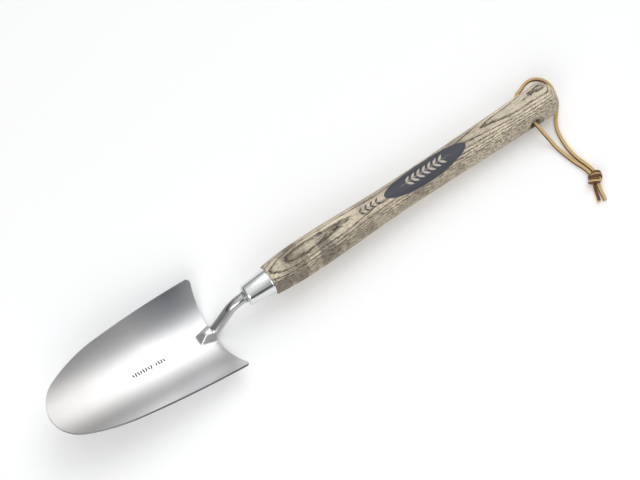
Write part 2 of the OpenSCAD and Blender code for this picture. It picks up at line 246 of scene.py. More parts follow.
def finish_piece(name, bm, matrix, materials, replaced=(), crisp=35):
    """Makes a piece from a bmesh: placed, smooth shaded, and told to the frame."""
    bm.transform(matrix)
    mesh = bpy.data.meshes.new(name)
    bm.to_mesh(mesh)
    bm.free()
    for material in materials:
        mesh.materials.append(material)
    mesh.shade_smooth()
    mesh.set_sharp_from_angle(angle=radians(crisp))
    piece = bpy.data.objects.new(name, mesh)
    bpy.context.scene.collection.objects.link(piece)
    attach(piece, "root")
    if replaced:
        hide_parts(*replaced)
    return piece


def chain(bm, points):
    """Joins points by edges, as an outline to spin or extrude."""
    verts = [bm.verts.new(p) for p in points]
    for a, b in zip(verts, verts[1:]):
        bm.edges.new((a, b))
    return verts


def turned(points, steps=96, axis=(1, 0, 0)):
    """Spins (along, radius) points about an axis, as on a lathe."""
    bm = bmesh.new()
    along = Vector(axis)
    chain(bm, [along * x + UP * r for x, r in points])
    bmesh.ops.spin(bm, geom=bm.verts[:] + bm.edges[:], cent=(0, 0, 0), axis=axis, dvec=(0, 0, 0),
                   angle=2 * pi, steps=steps, use_merge=True, use_duplicate=False)
    bmesh.ops.remove_doubles(bm, verts=bm.verts[:], dist=1e-6)
    bmesh.ops.recalc_face_normals(bm, faces=bm.faces[:])
    return bm


def rounded(centre, radius, start, stop, steps):
    """Points of an arc in the plane of (along, radius), angles in degrees."""
    return [(centre[0] + radius * cos(radians(start + (stop - start) * i / steps)),
             centre[1] + radius * sin(radians(start + (stop - start) * i / steps)))
            for i in range(steps + 1)]


def extrude_ring(bm, ring, matrix):
    """Draws the ring's edges on and moves the new ring by a matrix."""
    made = bmesh.ops.extrude_edge_only(bm, edges=ring)["geom"]
    verts = [e for e in made if isinstance(e, bmesh.types.BMVert)]
    faces = [e for e in made if isinstance(e, bmesh.types.BMFace)]
    bmesh.ops.transform(bm, matrix=matrix, verts=verts)
    ends = set(verts)
    edges = [e for e in made if isinstance(e, bmesh.types.BMEdge) and set(e.verts) <= ends]
    return edges, verts, faces


# Power that squares the thong's section, where 1 is round, and where its skin ends, in thicknesses
SQUARENESS = 0.55
SKIN_EDGE = 0.40


def thong(line, skin_sides, across, thick):
    """A square cut thong along a line. Its skin faces skin_sides; other faces are cut.

    Faces on the skin get the second material.
    """
    bm = bmesh.new()
    frames = []
    for i, p in enumerate(line):
        t = (line[min(i + 1, len(line) - 1)] - line[max(i - 1, 0)]).normalized()
        n = (skin_sides[i] - t * skin_sides[i].dot(t)).normalized()
        b = t.cross(n)
        frames.append(Matrix(((n.x, b.x, t.x, p.x), (n.y, b.y, t.y, p.y), (n.z, b.z, t.z, p.z),
                              (0, 0, 0, 1))))
    ring = bmesh.ops.create_circle(bm, segments=16, radius=1)["verts"]
    for v in ring:
        for axis, half in ((0, thick / 2), (1, across / 2)):
            v.co[axis] = (abs(v.co[axis]) ** SQUARENESS) * (1 if v.co[axis] >= 0 else -1) * half
    edges = bm.edges[:]
    bmesh.ops.transform(bm, matrix=frames[0], verts=ring)
    for before, after, middle in zip(frames, frames[1:], range(len(line) - 1)):
        edges, _verts, faces = extrude_ring(bm, edges, after @ before.inverted())
        n, p = after.col[0].xyz, (line[middle] + line[middle + 1]) / 2
        for face in faces:
            out = face.calc_center_median() - p
            face.material_index = 1 if out.dot(n) > SKIN_EDGE * thick else 0
    bmesh.ops.holes_fill(bm, edges=bm.edges[:], sides=0)
    bmesh.ops.recalc_face_normals(bm, faces=bm.faces[:])
    return bm


# -------------------------------------------------------------- material helpers

def wire(tree, kind, sockets, **settings):
    """Adds a node, sets it up, and links or fills its inputs."""
    node = tree.nodes.new(kind)
    for key, value in settings.items():
        setattr(node, key, value)
    for key, value in sockets.items():
        if isinstance(value, bpy.types.NodeSocket):
            tree.links.new(value, node.inputs[key])
        else:
            node.inputs[key].default_value = value
    return node


def noise(tree, vector, scale, detail=3.0, roughness=0.5, distortion=0.0):
    """A cloud of 0 to 1; the vector is in metres, so a scale of 100 has clumps of 10 mm."""
    node = wire(tree, "ShaderNodeTexNoise", {"Vector": vector, "Scale": scale, "Detail": detail,
                                             "Roughness": roughness, "Distortion": distortion})
    return node.outputs["Fac"]


def maths(tree, operation, a, b=0.0, c=0.0):
    return wire(tree, "ShaderNodeMath", {0: a, 1: b, 2: c}, operation=operation).outputs[0]


def plus(tree, total, *parts):
    """The sum of sockets and numbers."""
    for part in parts:
        total = maths(tree, "ADD", total, part)
    return total


def times(tree, product, *parts):
    """The product of sockets and numbers."""
    for part in parts:
        product = maths(tree, "MULTIPLY", product, part)
    return product


def stretch(tree, vector, scale, rotation=(0, 0, 0), location=(0, 0, 0)):
    return wire(tree, "ShaderNodeMapping", {"Vector": vector, "Location": location,
                                            "Rotation": rotation, "Scale": scale}).outputs[0]


def own_frame(tree, coords, turn, origin=(0, 0, 0)):
    """Object coordinates, moved and turned back into the frame of a part that was laid down."""
    moved = stretch(tree, coords, (1, 1, 1), (0, 0, 0), tuple(-c for c in origin))
    return stretch(tree, moved, (1, 1, 1), (0, -turn, 0))


def blend(tree, factor, a, b):
    """Mixes two colours, each a socket or a value."""
    node = wire(tree, "ShaderNodeMix", {}, data_type="RGBA")
    for index, value in ((0, factor), (6, a), (7, b)):
        if isinstance(value, bpy.types.NodeSocket):
            tree.links.new(value, node.inputs[index])
        else:
            node.inputs[index].default_value = value
    return node.outputs[2]


def dimmed(shade, share):
    """A colour made darker, or lighter when the share is over 1."""
    return tuple(share * c for c in shade[:3]) + (1,)


def fit(tree, value, low, high, new_low=0.0, new_high=1.0):
    """Maps low..high to new_low..new_high, and clamps."""
    return wire(tree, "ShaderNodeMapRange", {"Value": value, "From Min": low, "From Max": high,
                                             "To Min": new_low, "To Max": new_high}).outputs[0]


def new_material(name, **constants):
    """A material with one Principled shader, whose constants are set on its own sockets."""
    material = bpy.data.materials.new(name)
    material.use_nodes = True
    tree = material.node_tree
    shader = tree.nodes["Principled BSDF"]
    for key, value in constants.items():
        shader.inputs[key.replace("_", " ")].default_value = value
    coords = tree.nodes.new("ShaderNodeTexCoord").outputs["Object"]
    return material, tree, shader, coords


def bump(tree, shader, height, strength, distance):
    node = wire(tree, "ShaderNodeBump", {"Height": height, "Strength": strength, "Distance": distance})
    tree.links.new(node.outputs[0], shader.inputs["Normal"])


def new_group(name, inputs, outputs):
    """A shader node group with named sockets; returns its tree and its two end nodes."""
    tree = bpy.data.node_groups.new(name, "ShaderNodeTree")
    for key, kind in inputs:
        tree.interface.new_socket(key, in_out="INPUT", socket_type=kind)
    for key, kind in outputs:
        tree.interface.new_socket(key, in_out="OUTPUT", socket_type=kind)
    return tree, tree.nodes.new("NodeGroupInput"), tree.nodes.new("NodeGroupOutput")


# Depth of the rubbing lines on every steel piece
RUB_DEPTH = 0.00002


def rubbed_steel_group():
    """Rubbed lines and soft smears on steel: a roughness and a height."""
    found = bpy.data.node_groups.get("Rubbed steel")
    if found:
        return found
    tree, start, end = new_group(
        "Rubbed steel",
        (("Vector", "NodeSocketVector"), ("Smooth", "NodeSocketFloat"), ("Rough", "NodeSocketFloat")),
        (("Roughness", "NodeSocketFloat"), ("Height", "NodeSocketFloat")))
    v = start.outputs["Vector"]
    lines = noise(tree, stretch(tree, v, (14, 2600, 900)), 1.0, 2)
    scratches = noise(tree, stretch(tree, v, (60, 5200, 1700), (0, 0, 0.09)), 1.0, 2, 0.7)
    smears = noise(tree, stretch(tree, v, (22, 60, 60)), 1.0, 4, 0.6, 0.4)
    mixed = plus(tree, times(tree, lines, 0.55), times(tree, smears, 0.45))
    # Rubbing lines and finger smears both vary the polish between the two roughness values
    rough = wire(tree, "ShaderNodeMapRange", {"Value": mixed, "From Min": 0.35, "From Max": 0.65,
                                              "To Min": start.outputs["Smooth"],
                                              "To Max": start.outputs["Rough"]}).outputs[0]
    tree.links.new(rough, end.inputs["Roughness"])
    tree.links.new(plus(tree, lines, times(tree, scratches, 0.5)), end.inputs["Height"])
    return tree


def steel(name, colour_value, lay_turn, smooth, rough, depth, painted_shades=()):
    """Stainless steel rubbed along the tool; each painted shade is a colour, its middle and its reach, and
    darkens the steel round that middle.
    """
    material, tree, shader, coords = new_material(name, Metallic=1.0)
    along = own_frame(tree, coords, lay_turn)
    group = wire(tree, "ShaderNodeGroup", {}, node_tree=rubbed_steel_group())
    tree.links.new(along, group.inputs["Vector"])
    group.inputs["Smooth"].default_value = smooth
    group.inputs["Rough"].default_value = rough
    tree.links.new(group.outputs["Roughness"], shader.inputs["Roughness"])
    cloud = noise(tree, along, 18, 3)
    deep = dimmed(colour_value, 0.93)
    tint = blend(tree, fit(tree, cloud, 0.35, 0.65), tuple(colour_value), deep)
    # Painted shade: each blends the steel towards a darker colour near a point
    for shade, middle, reach in painted_shades:
        away = wire(tree, "ShaderNodeVectorMath", {0: coords, 1: middle}, operation="DISTANCE")
        ragged = plus(tree, away.outputs["Value"], times(tree, cloud, 0.02))
        tint = blend(tree, fit(tree, ragged, 0.01, reach, 1.0, 0.0), tint, tuple(shade))
    tree.links.new(tint, shader.inputs["Base Color"])
    bump(tree, shader, group.outputs["Height"], 0.35, depth)
    return material


# -------------------------------------------------------------------------- lace

# The hanging hole's middle, and how far its mouths are from it
HOLE_X, HOLE_Z, MOUTH_Y = 0.2145, 0.0162, 0.0155
# Where each run goes, from the middle of the hanging hole to the knot
FAR_ROUTE = (
    (0.2145, 0, 0.0162), (0.2145, 0.008, 0.0162), (0.2155, 0.013, 0.0162), (0.219, 0.017, 0.0155),
    (0.225, 0.0195, 0.014), (0.2315, 0.0225, 0.012), (0.237, 0.0243, 0.009), (0.242, 0.0248, 0.006),
    (0.2465, 0.0238, 0.0034), (0.2503, 0.0205, 0.002), (0.2518, 0.0155, 0.0017),
    (0.2515, 0.010, 0.0017), (0.250, 0.005, 0.0017), (0.248, 0, 0.0017), (0.2447, -0.0055, 0.0017),
    (0.2403, -0.0103, 0.0017), (0.2355, -0.0155, 0.0017), (0.2307, -0.023, 0.0017),
    (0.2278, -0.0325, 0.0017), (0.2264, -0.043, 0.0017), (0.2268, -0.0535, 0.0017),
    (0.2286, -0.0625, 0.0017), (0.2294, -0.070, 0.0026), (0.2286, -0.0742, 0.0036))
NEAR_ROUTE = (
    (0.2145, 0, 0.0162), (0.2145, -0.008, 0.0162), (0.2147, -0.014, 0.0158), (0.2153, -0.0185, 0.014),
    (0.2163, -0.0225, 0.011), (0.2173, -0.026, 0.008), (0.2183, -0.0295, 0.0052),
    (0.219, -0.0335, 0.003), (0.2196, -0.038, 0.002), (0.2204, -0.0435, 0.0017),
    (0.2213, -0.049, 0.0017), (0.2224, -0.0545, 0.0017), (0.2237, -0.0595, 0.0017),
    (0.2251, -0.0645, 0.0018), (0.2258, -0.0705, 0.0026), (0.2248, -0.0748, 0.0036))
NEAR_TAIL = (
    (0.222, -0.082, 0.0032), (0.2206, -0.0848, 0.0022), (0.2186, -0.0895, 0.0018), (0.216, -0.096, 0.0017))
FAR_TAIL = (
    (0.2254, -0.0826, 0.0032), (0.224, -0.0856, 0.0022), (0.2224, -0.091, 0.0018), (0.2206, -0.098, 0.0017))
# An overhand turn round both runs: along the lace, across it and up, in metres
KNOT_AT = Vector((0.2253, -0.0788, 0))
KNOT_ALONG = Vector((-0.6, -0.8, 0))
KNOT_ROUTE = (
    (-0.004, 0, 0.002), (-0.0025, -0.0042, 0.0025), (-0.0043, 0, 0.0074), (-0.0052, 0.0040, 0.0045),
    (-0.003, 0, 0.0019), (-0.0005, -0.0044, 0.0045), (-0.0008, 0, 0.0077), (-0.002, 0.0038, 0.0063),
    (0.0005, 0.0044, 0.0046), (0.0032, 0.0030, 0.0062), (0.0038, -0.0005, 0.0072),
    (0.0035, -0.0042, 0.0046), (0.003, -0.002, 0.0021), (0.002, 0, 0.003))


def leather(name, base, worn, fibre_height):
    """Leather with patches of wear and a fine nap."""
    material, tree, shader, coords = new_material(name, Specular_IOR_Level=0.35)
    fibres = noise(tree, coords, 1500, 4, 0.65)
    patches = noise(tree, coords, 160, 3)
    tint = blend(tree, fit(tree, patches, 0.35, 0.7), tuple(base), tuple(worn))
    tint = blend(tree, fit(tree, fibres, 0.35, 0.75, 0, 0.45), tint, dimmed(base, 0.45))
    tree.links.new(tint, shader.inputs["Base Color"])
    tree.links.new(fit(tree, fibres, 0.3, 0.7, 0.55, 0.85), shader.inputs["Roughness"])
    bump(tree, shader, plus(tree, fibres, patches), 0.5, fibre_height)
    return material


class TROWEL_OT_lace(bpy.types.Operator):
    """Cuts the leather lace: two runs out of the hanging hole, their knot and tails"""
    bl_idname = "trowel.lace"
    bl_label = "Lace"

    def execute(self, context):
        lace = context.scene.trowel.lace
        cut = leather("Cut leather", lace.tan, (0.70, 0.50, 0.22, 1), 0.00025)
        skin = leather("Leather skin", lace.skin, (0.20, 0.095, 0.052, 1), 0.00012)
        knot = self.knot(lace, (cut, skin))
        for name, route, mouth, length, nodes in (
                ("far_thong", FAR_ROUTE + FAR_TAIL, MOUTH_Y, 0.184, ("lace_far_run", "lace_tails")),
                ("near_thong", NEAR_ROUTE + NEAR_TAIL, -MOUTH_Y, 0.104, ("lace_near_run",))):
            line = smooth_route(route)
            sides = [(line[min(i + 1, len(line) - 1)] - line[max(i - 1, 0)]).cross(UP)
                     for i in range(len(line))]
            # The near thong's tail lies skin up
            if name == "near_thong":
                sides = [UP if p.y < KNOT_AT.y else side for p, side in zip(line, sides)]
            bm = thong(line, sides, lace.thick, lace.thick)
            piece = finish_piece(name, bm, Matrix.Identity(4), (cut, skin), nodes)
            [tuple(p) for p in line]
        return {"FINISHED"}

    def knot(self, lace, materials):
        """A pulled overhand turn, its skin outwards, round a dark core."""
        across = Vector((-KNOT_ALONG.y, KNOT_ALONG.x, 0))
        line = [KNOT_AT + KNOT_ALONG * p.x + across * p.y + UP * p.z for p in smooth_route(KNOT_ROUTE, 8)]
        heart = KNOT_AT + UP * lace.knot_high
        sides = []
        for i, p in enumerate(line):
            out = p - heart
            out = (out - KNOT_ALONG * 0.7 * out.dot(KNOT_ALONG)).normalized()
            # The skin faces outwards in the first turn and has rolled towards the tails by the last
            roll = min(1, max(0, 2.2 * i / len(line) - 0.6))
            sides.append(out.lerp(KNOT_ALONG, 0.72 * roll))
        bm = thong(line, sides, 1.1 * lace.thick, 0.82 * lace.thick)
        core = len(bm.faces)
        turn = Matrix((KNOT_ALONG, across, UP)).transposed().to_4x4()
        size_of_core = Matrix.Diagonal((lace.knot_along, lace.knot_across, 0.7 * lace.knot_high, 1))
        bmesh.ops.create_uvsphere(bm, u_segments=24, v_segments=16, radius=1,
                                  matrix=Matrix.Translation(heart) @ turn @ size_of_core)
        bm.faces.ensure_lookup_table()
        for face in bm.faces[core:]:
            face.material_index = 1
        return finish_piece("thong_knot", bm, Matrix.Identity(4), materials, ("lace_knot",))


# ------------------------------------------------------------------------- stage

# Direction, cosines where a region begins and is full, and what it adds to the room's light
ROOM_REGIONS = (
    ((0.61, 0.38, 0.70), 0.70, 1.0, 0.56),
    ((0.0, 0.0, 1.0), 0.72, 1.0, 0.40),
    ((0.80, -0.50, 0.45), 0.83, 0.98, -0.42),
    ((0.05, -1.0, 0.10), 0.80, 0.98, -0.26),
    ((-0.8, 0.5, 0.35), 0.70, 0.98, -0.25))


class TROWEL_OT_stage(bpy.types.Operator):
    """Sets the camera, the bench and the soft lights"""
    bl_idname = "trowel.stage"
    bl_label = "Stage"

    def execute(self, context):
        stage = context.scene.trowel.stage
        self.camera(context, stage)
        self.bench(context, stage)
        self.room(context, stage)
        for name, place, aim, width, depth, power in (
                ("Overhead softbox", (0.75, 0.45, 1.15), (-0.05, 0, 0), 1.3, 1.0, 3.6),
                ("Front softbox", (-0.80, -1.05, 0.90), (0, 0, 0), 1.2, 0.9, 9.0)):
            light = bpy.data.lights.new(name, "AREA")
            light.shape = "RECTANGLE"
            light.size, light.size_y, light.energy = width, depth, power
            lamp = bpy.data.objects.new(name, light)
            lamp.location = place
            lamp.rotation_euler = (Vector(aim) - Vector(place)).to_track_quat("-Z", "Y").to_euler()
            context.scene.collection.objects.link(lamp)
        context.scene.view_settings.view_transform = "Standard"
        return {"FINISHED"}

    def camera(self, context, stage):
        """Looks down on the tool from its near side, with the blade towards the left."""
        data = bpy.data.cameras.new("Camera")
        data.lens = stage.lens
        data.shift_x, data.shift_y = 0.0219, 0.0308
        camera = bpy.data.objects.new("Camera", data)
        right = Vector((0.81684, -0.56773, -0.10223))
        top = Vector((0.55708, 0.73033, 0.39533))
        back = Vector((-0.14979, -0.37987, 0.91283))
        turn = Matrix((right, top, back)).transposed().to_4x4()
        camera.matrix_world = Matrix.Translation((-0.18729, -0.45585, 1.11441)) @ turn
        context.scene.collection.objects.link(camera)
        context.scene.camera = camera

    def bench(self, context, stage):
        """A wide pale top that gives a little light of its own."""
        bm = bmesh.new()
        bmesh.ops.create_grid(bm, x_segments=1, y_segments=1, size=4)
        mesh = bpy.data.meshes.new("Bench")
        bm.to_mesh(mesh)
        bm.free()
        material, _tree, shader, _coords = new_material("Bench top", Roughness=0.9)
        shader.inputs["Base Color"].default_value = stage.floor
        shader.inputs["Emission Color"].default_value = stage.floor
        shader.inputs["Emission Strength"].default_value = stage.glow
        mesh.materials.append(material)
        bench = bpy.data.objects.new("Bench", mesh)
        context.scene.collection.objects.link(bench)

    def room(self, context, stage):
        """A pale room with soft bright and dark regions, which the steel mirrors."""
        world = bpy.data.worlds.new("Room")
        world.use_nodes = True
        context.scene.world = world
        tree = world.node_tree
        direction = tree.nodes.new("ShaderNodeTexCoord").outputs["Generated"]
        height = wire(tree, "ShaderNodeSeparateXYZ", {"Vector": direction}).outputs["Z"]
        ramp = wire(tree, "ShaderNodeValToRGB", {"Fac": height})
        stops = ramp.color_ramp.elements
        for spot, value in ((0.0, 0.80), (0.10, 0.72), (0.20, 0.36), (0.38, 0.34), (0.50, 0.56)):
            stops.new(spot).color = (value, value, value, 1)
        stops.remove(stops[0])
        stops[-1].color = (0.60, 0.60, 0.60, 1)
        level = ramp.outputs["Color"]
        for toward, begin, full, gain in ROOM_REGIONS:
            near = wire(tree, "ShaderNodeVectorMath", {0: direction, 1: Vector(toward).normalized()},
                        operation="DOT_PRODUCT").outputs["Value"]
            soft = wire(tree, "ShaderNodeMapRange", {"Value": near, "From Min": begin, "From Max": full,
                                                     "To Max": gain}, interpolation_type="SMOOTHSTEP")
            level = plus(tree, level, soft.outputs[0])
        background = tree.nodes["Background"]
        background.inputs["Color"].default_value = stage.sky
        tree.links.new(level, background.inputs["Strength"])


# ------------------------------------------------------------------------- blade

# How far the press rounds the hump's creases, and its foot
CREASE = 0.0006
FOOT_CREASE = 0.0009


class BladeForm:
    """The blade's outline and its hollow surface; x runs from the back edge to the tip as minus."""

    def __init__(self, b):
        self.b = b
        self.flank_centre = (b.length + b.flank_lead,
                             b.width / 2 + b.flank_lead ** 2 / (2 * b.flank) - b.flank)
        turn = pi - acos((self.flank_centre[0] - b.flank_start) / b.flank)
        gap = b.flank - b.shoulder
        self.shoulder_centre = (self.flank_centre[0] + gap * cos(turn),
                                self.flank_centre[1] + gap * sin(turn))
        sx, sy = self.shoulder_centre
        self.nose = (b.shoulder ** 2 - sx ** 2 - sy ** 2) / (2 * (b.shoulder - sx))
        away = hypot(self.nose - sx, sy)
        self.nose_end = sx + b.shoulder * (self.nose - sx) / away
        ear_y = b.width / 2 - b.ear_round
        self.hollow = (ear_y ** 2 + b.ear_sweep ** 2) / (2 * b.ear_sweep)
        reach = self.hollow + b.ear_round
        self.ear = (self.hollow - sqrt(reach ** 2 - ear_y ** 2), ear_y)
        self.sag = b.dish - sqrt(b.dish ** 2 - (b.length / 2) ** 2)

    def half_width(self, u):
        """Half the width at a distance from the tip."""
        if u <= 0:
            return 0.0
        if u < self.nose_end:
            return sqrt(max(0.0, self.nose ** 2 - (u - self.nose) ** 2))
        (cx, cy), r = ((self.shoulder_centre, self.b.shoulder) if u < self.b.flank_start
                       else (self.flank_centre, self.b.flank))
        return cy + sqrt(r * r - (u - cx) ** 2)

    def back_edge(self, y):
        return self.hollow - sqrt(self.hollow ** 2 - y * y)

    def trough(self, x, y):
        b = self.b
        along = x + b.length / 2
        rho = b.dish - b.trough + sqrt(max(0.0, b.trough ** 2 - y * y))
        return b.dish - self.sag - sqrt(rho * rho - along * along)

    def hump(self, x, y):
        """Height of the pressed hump: the lowest of its ridge, its sloping front and its sides."""
        b = self.b
        base = -b.sheet / 2
        ridge = b.hump_height + b.hump_fall * x / b.ridge_length
        foot = b.hump_back / 2 + x * (b.hump_back - b.hump_front) / 2 / b.hump_length
        shoulder = b.ridge_width / 2 * (1 + x / 2 / b.ridge_length)
        side = base + (foot - abs(y)) / max(foot - shoulder, 1e-4) * (ridge - base)
        climb = (b.hump_height - b.hump_fall - base) / (b.hump_length - b.ridge_length)
        front = base + (x + b.hump_length) * climb
        return soft_min(soft_min(front, side, CREASE), ridge, CREASE)

    def surface(self, x, y):
        """Height of the sheet's upper face: the trough, with the hump rising out of it."""
        low = self.trough(x, y)
        if x < -1.4 * self.b.hump_length or abs(y) > 0.75 * self.b.hump_back:
            return low
        rise = self.hump(x, y) - low
        # What the soft corner adds far from the foot is taken off again
        return low + soft_max(rise, 0, FOOT_CREASE) - FOOT_CREASE ** 2 / 4 / max(FOOT_CREASE, abs(rise))


class TROWEL_OT_blade(bpy.types.Operator):
    """Presses the hollow blade with its hump, and stamps a row of plain strokes"""
    bl_idname = "trowel.blade"
    bl_label = "Blade"

    def execute(self, context):
        s = context.scene.trowel
        b, lay = s.blade, Lay(s)
        form = BladeForm(b)
        tip = lay.blade @ Vector((-b.length, 0, 0))
        far_ear = lay.blade @ Vector((-0.018, 0.46 * b.width, 0.016))
        # The tip and far ear colours are painted shade, blended into the steel near those two points
        satin = steel("Satin steel", b.steel, lay.lay + b.pitch, 0.30, 0.38, RUB_DEPTH,
                      ((b.painted_tip_shade, tip, 0.105), (b.painted_ear_shade, far_ear, 0.052)))
        self.paint_flank_shade(satin, b, lay)
        # The cut edge's dark colour is painted shade for a thin dark rim
        painted_edge_shade = steel("Cut edge", b.edge, lay.lay + b.pitch, 0.30, 0.45, RUB_DEPTH)
        bm = self.outline(form, b)
        self.refine(bm, b)
        for v in bm.verts:
            v.co.z = form.surface(v.co.x, v.co.y)
        bmesh.ops.recalc_face_normals(bm, faces=bm.faces[:])
        if sum(f.normal.z for f in bm.faces) < 0:
            bmesh.ops.reverse_faces(bm, faces=bm.faces[:])
        piece = finish_piece("blade_sheet", bm, lay.blade, (satin, painted_edge_shade), ("blade",), 60)
        wall = piece.modifiers.new("Sheet", "SOLIDIFY")
        wall.thickness, wall.offset, wall.use_even_offset = b.sheet, -1, True
        # The rim faces take the painted edge shade
        wall.material_offset_rim = 1
        edge = piece.modifiers.new("Worn edge", "BEVEL")
        edge.width, edge.segments = 0.0004, 3
        edge.limit_method, edge.angle_limit = "ANGLE", radians(65)
        edge.harden_normals = True
        self.stamp(b, lay, form)
        return {"FINISHED"}

    def paint_flank_shade(self, material, b, lay):
        """Paints shade on the hump's two steep sides: a darker steel colour stands for the dark room they
        mirror.
        """
        tree = material.node_tree
        coords = tree.nodes.new("ShaderNodeTexCoord").outputs["Object"]
        local = own_frame(tree, coords, lay.lay + b.pitch, lay.blade.to_translation())
        x, y, _z = wire(tree, "ShaderNodeSeparateXYZ", {"Vector": local}).outputs
        splay = (b.hump_back - b.hump_front) / 2 / b.hump_length
        foot = maths(tree, "MULTIPLY_ADD", x, splay, b.hump_back / 2)
        shoulder = maths(tree, "MULTIPLY_ADD", x, b.ridge_width / 4 / b.ridge_length, b.ridge_width / 2)
        side = maths(tree, "DIVIDE", maths(tree, "SUBTRACT", foot, maths(tree, "ABSOLUTE", y)),
                     maths(tree, "SUBTRACT", foot, shoulder))
        front = maths(tree, "DIVIDE", plus(tree, x, b.hump_length), b.hump_length - b.ridge_length)
        # side and front climb from 0 at the foot to 1 at the ridge, and the lower one is the surface
        flank_shade_mask = times(tree, fit(tree, side, 0.15, 0.24), fit(tree, side, 0.97, 0.88),
                       fit(tree, maths(tree, "SUBTRACT", front, side), -0.02, 0.05))
        shader = tree.nodes["Principled BSDF"]
        plain = shader.inputs["Base Color"].links[0].from_socket
        # Painted shade: the steep sides take the darker flank colour
        tree.links.new(blend(tree, flank_shade_mask, plain, tuple(b.painted_flank_shade)), shader.inputs["Base Color"])

    def outline(self, form, b):
        """A flat grid in the blade's outline, finer towards the tip, with its ears rounded off."""
        bm = bmesh.new()
        bmesh.ops.create_grid(bm, x_segments=112, y_segments=64, size=1)
        for v in bm.verts:
            u = b.length * (1 - cos((v.co.x + 1) * pi / 4))
            share = v.co.y
            y = share * form.half_width(u)
            u += form.back_edge(y) * (u / b.length) ** 6
            v.co = (u - b.length, share * form.half_width(u), 0)
        bmesh.ops.remove_doubles(bm, verts=bm.verts[:], dist=1e-6)
        for side in (-1, 1):
            for a in (72, 52, 32, 12):
                out = Vector((cos(radians(a)), side * sin(radians(a)), 0))
                at = Vector((form.ear[0], side * form.ear[1], 0)) + out * b.ear_round
                bmesh.ops.bisect_plane(bm, geom=bm.verts[:] + bm.edges[:] + bm.faces[:],
                                       plane_co=at, plane_no=out, clear_outer=True)
        return bm

    def refine(self, bm, b):
        """Makes the grid finer round the hump."""
        near = [e for e in bm.edges if all(v.co.x > -1.25 * b.hump_length
                                           and abs(v.co.y) < 0.68 * b.hump_back for v in e.verts)]
        bmesh.ops.subdivide_edges(bm, edges=near, cuts=3, use_grid_fill=True)

    def stamp(self, b, lay, form):
        """Two short rows of slanted strokes on the spine."""
        bm = bmesh.new()
        middle, high, gap, wide, slant, ink = -0.0595, 0.0034, 0.00235, 0.0011, 0.0006, 0.0001
        for i in (0, 1, 2, 3, 4, 5, 6, 7, 9, 10, 11, 12):
            made = bmesh.ops.create_cube(bm, size=1)["verts"]
            at = middle + (i - 6) * gap
            for v in made:
                lean = slant * (1 if i % 2 else -1) * v.co.y
                tall = high * (1 if i % 3 else 0.72)
                x, y = at + v.co.x * wide + lean, v.co.y * tall
                v.co = (x, y, form.trough(x, y) + ink * v.co.z)
        dark, _tree, shader, _coords = new_material("Stamped strokes", Roughness=0.6)
        shader.inputs["Base Color"].default_value = b.stamp
        finish_piece("blade_stamp", bm, lay.blade, (dark,))


# ------------------------------------------------------------------------- shank

